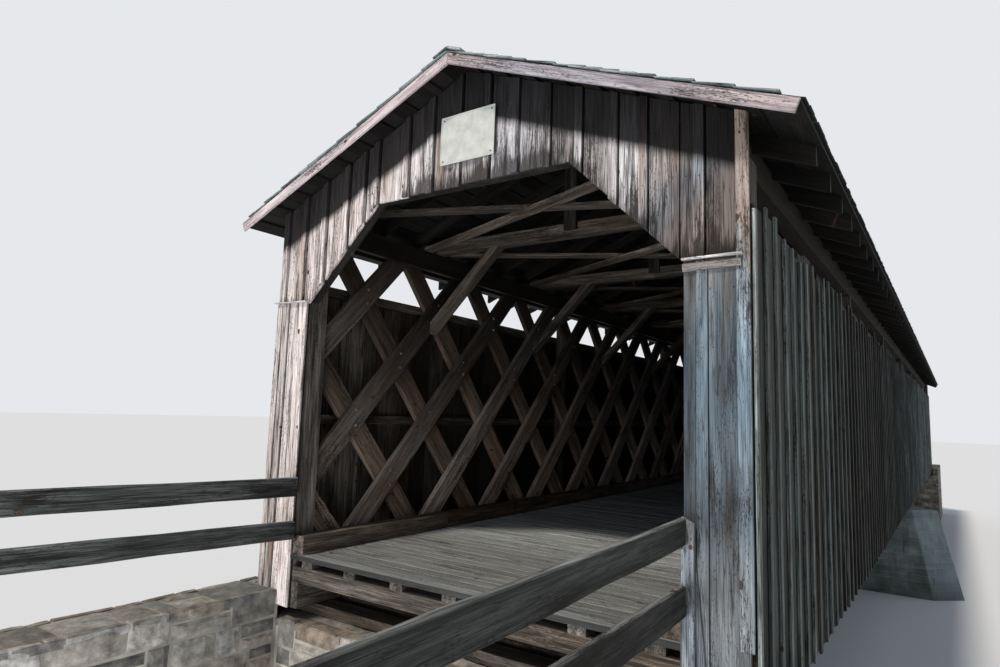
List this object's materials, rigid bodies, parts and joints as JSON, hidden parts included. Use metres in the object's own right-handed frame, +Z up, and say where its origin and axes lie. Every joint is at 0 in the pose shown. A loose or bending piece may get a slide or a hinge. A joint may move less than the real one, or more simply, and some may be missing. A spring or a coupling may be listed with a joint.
{
  "type": "covered bridge",
  "caption": "Timber covered bridge with plank lattice trusses, board siding and a shingled gable roof, on stone abutments and a concrete middle pier.",
  "frame": {"origin": "centre of the plan, on the level foot of the abutments and pier", "axes": "+X to the right when looking in at the near portal, +Y along the road from the near portal to the far one, +Z up"},
  "size_m": [7.0744, 39.4, 7.3985],
  "materials": {
    "weathered_siding": "sawn boards weathered grey, with dark streaks",
    "dark_side_siding": "sawn boards and battens, dark green-grey",
    "truss_timber": "rough sawn, dark brown with tan wear",
    "roof_timber": "rough sawn, very dark brown",
    "deck_timber": "worn planks, pale grey",
    "trim_boards": "planed boards weathered pale grey",
    "rail_timber": "rough planks, dark mossy grey",
    "shingles": "split shingles, grey-green",
    "concrete": "board-marked concrete, weathered grey",
    "rubble_stone": "coursed rubble masonry, grey"
  },
  "bodies": {
    "root": {"near_abutment": "rubble_stone", "far_abutment": "rubble_stone", "near_wing_walls": "rubble_stone", "far_wing_walls": "rubble_stone", "centre_pier": "concrete", "bearing_timbers": "truss_timber", "right_lattice": "truss_timber", "left_lattice": "truss_timber", "right_lower_chord": "truss_timber", "left_lower_chord": "truss_timber", "near_end_posts": "truss_timber", "far_end_posts": "truss_timber", "wall_posts": "truss_timber", "siding_girts": "truss_timber", "floor_beams": "truss_timber", "stringers": "truss_timber", "curbs": "truss_timber", "right_upper_chord": "roof_timber", "left_upper_chord": "roof_timber", "tie_beams": "roof_timber", "knee_braces": "roof_timber", "lower_lateral_braces": "roof_timber", "upper_lateral_braces": "roof_timber", "right_rafters": "roof_timber", "left_rafters": "roof_timber", "ridge_board": "roof_timber", "right_roof_boards": "roof_timber", "left_roof_boards": "roof_timber", "near_portal_frame": "roof_timber", "far_portal_frame": "roof_timber", "deck": "deck_timber", "left_shingle_roof": "shingles", "right_shingle_roof": "shingles", "ridge_cap": "shingles", "right_siding": "dark_side_siding", "left_siding": "dark_side_siding", "near_right_jamb": "weathered_siding", "near_left_jamb": "weathered_siding", "far_right_jamb": "weathered_siding", "far_left_jamb": "weathered_siding", "near_gable_wall": "weathered_siding", "far_gable_wall": "weathered_siding", "rake_boards": "trim_boards", "portal_ledges": "trim_boards", "near_approach_rails": "rail_timber", "far_approach_rails": "rail_timber"}
  },
  "joints": []
}
